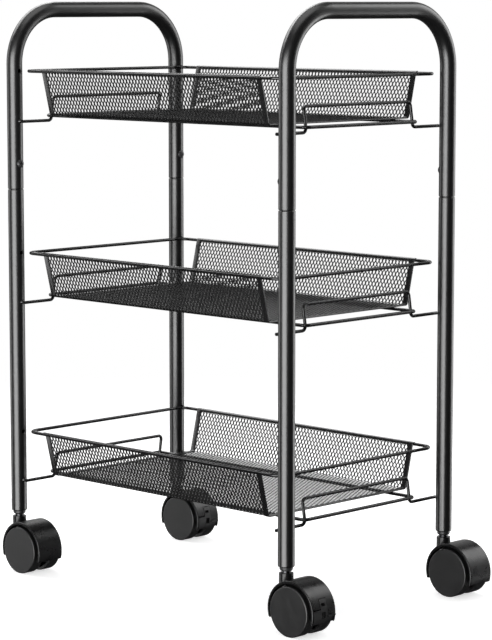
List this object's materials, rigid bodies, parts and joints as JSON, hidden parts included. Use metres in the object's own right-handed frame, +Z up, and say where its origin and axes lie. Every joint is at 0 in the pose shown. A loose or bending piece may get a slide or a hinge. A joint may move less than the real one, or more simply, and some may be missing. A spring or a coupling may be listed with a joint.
{
  "type": "rolling utility cart",
  "caption": "Rolling utility cart with a black tube frame, expanded steel trays hung between its legs, a bar handle at each end, and swivel casters with twin wheels.",
  "frame": {"origin": "on the floor, midway between the four legs", "axes": "+Z up, X along the long side with the casters trailing towards +X, +Y from the front to the back"},
  "size_m": [0.47, 0.2802, 0.6222],
  "materials": {
    "tube": "satin black powder coat",
    "screw": "black, slightly worn",
    "mesh": "satin black powder coat",
    "wire": "satin black powder coat",
    "socket": "matt black",
    "stem": "dark zinc plated",
    "axle": "zinc plated",
    "hood": "semi gloss black, faint moulding texture",
    "wheel": "semi gloss dark grey",
    "lever": "semi matt black"
  },
  "bodies": {
    "frame": {"handle_left": "tube", "handle_right": "tube", "leg_front_left": "tube", "leg_back_left": "tube", "leg_front_right": "tube", "leg_back_right": "tube", "joint_screws": "screw", "socket_front_left": "socket", "socket_back_left": "socket", "socket_front_right": "socket", "socket_back_right": "socket", "tray_mesh_top": "mesh", "tray_mesh_middle": "mesh", "tray_mesh_bottom": "mesh", "rim_wire_top": "wire", "rim_wire_middle": "wire", "rim_wire_bottom": "wire", "base_wire_top": "wire", "base_wire_middle": "wire", "base_wire_bottom": "wire", "bracket_left_top": "wire", "bracket_left_middle": "wire", "bracket_left_bottom": "wire", "bracket_right_top": "wire", "bracket_right_middle": "wire", "bracket_right_bottom": "wire", "caster_stem_front_left": "stem", "caster_stem_back_left": "stem", "caster_stem_front_right": "stem", "caster_stem_back_right": "stem"},
    "caster_front_left": {"caster_hood_front_left": "hood", "caster_axle_front_left": "axle"},
    "caster_back_left": {"caster_hood_back_left": "hood", "caster_axle_back_left": "axle"},
    "caster_front_right": {"caster_hood_front_right": "hood", "caster_axle_front_right": "axle"},
    "caster_back_right": {"caster_hood_back_right": "hood", "caster_axle_back_right": "axle"},
    "wheel_a_front_left": {"wheel_a_front_left": "wheel"},
    "wheel_b_front_left": {"wheel_b_front_left": "wheel"},
    "wheel_a_back_left": {"wheel_a_back_left": "wheel"},
    "wheel_b_back_left": {"wheel_b_back_left": "wheel"},
    "wheel_a_front_right": {"wheel_a_front_right": "wheel"},
    "wheel_b_front_right": {"wheel_b_front_right": "wheel"},
    "wheel_a_back_right": {"wheel_a_back_right": "wheel"},
    "wheel_b_back_right": {"wheel_b_back_right": "wheel"},
    "brake_back_left": {"brake_lever_back_left": "lever"},
    "brake_front_right": {"brake_lever_front_right": "lever"}
  },
  "joints": [
    {"name": "swivel_front_left", "type": "hinge", "parent": "frame", "child": "caster_front_left", "pos_m": [-0.20335, -0.1211, 0.0591], "axis": [0, 0, 1], "continuous": true},
    {"name": "swivel_back_left", "type": "hinge", "parent": "frame", "child": "caster_back_left", "pos_m": [-0.20335, 0.1211, 0.0591], "axis": [0, 0, 1], "continuous": true},
    {"name": "swivel_front_right", "type": "hinge", "parent": "frame", "child": "caster_front_right", "pos_m": [0.20335, -0.1211, 0.0591], "axis": [0, 0, 1], "continuous": true},
    {"name": "swivel_back_right", "type": "hinge", "parent": "frame", "child": "caster_back_right", "pos_m": [0.20335, 0.1211, 0.0591], "axis": [0, 0, 1], "continuous": true},
    {"name": "spin_a_front_left", "type": "hinge", "parent": "caster_front_left", "child": "wheel_a_front_left", "pos_m": [-0.18255, -0.1336, 0.0254], "axis": [0, 1, 0], "continuous": true},
    {"name": "spin_b_front_left", "type": "hinge", "parent": "caster_front_left", "child": "wheel_b_front_left", "pos_m": [-0.18255, -0.1086, 0.0254], "axis": [0, 1, 0], "continuous": true},
    {"name": "spin_a_back_left", "type": "hinge", "parent": "caster_back_left", "child": "wheel_a_back_left", "pos_m": [-0.18255, 0.1086, 0.0254], "axis": [0, 1, 0], "continuous": true},
    {"name": "spin_b_back_left", "type": "hinge", "parent": "caster_back_left", "child": "wheel_b_back_left", "pos_m": [-0.18255, 0.1336, 0.0254], "axis": [0, 1, 0], "continuous": true},
    {"name": "spin_a_front_right", "type": "hinge", "parent": "caster_front_right", "child": "wheel_a_front_right", "pos_m": [0.22415, -0.1336, 0.0254], "axis": [0, 1, 0], "continuous": true},
    {"name": "spin_b_front_right", "type": "hinge", "parent": "caster_front_right", "child": "wheel_b_front_right", "pos_m": [0.22415, -0.1086, 0.0254], "axis": [0, 1, 0], "continuous": true},
    {"name": "spin_a_back_right", "type": "hinge", "parent": "caster_back_right", "child": "wheel_a_back_right", "pos_m": [0.22415, 0.1086, 0.0254], "axis": [0, 1, 0], "continuous": true},
    {"name": "spin_b_back_right", "type": "hinge", "parent": "caster_back_right", "child": "wheel_b_back_right", "pos_m": [0.22415, 0.1336, 0.0254], "axis": [0, 1, 0], "continuous": true},
    {"name": "brake_back_left", "type": "hinge", "parent": "caster_back_left", "child": "brake_back_left", "pos_m": [-0.15595, 0.1211, 0.0386], "axis": [0, 1, 0], "range_deg": [0, 8]},
    {"name": "brake_front_right", "type": "hinge", "parent": "caster_front_right", "child": "brake_front_right", "pos_m": [0.25076, -0.1211, 0.0386], "axis": [0, 1, 0], "range_deg": [0, 8]}
  ]
}
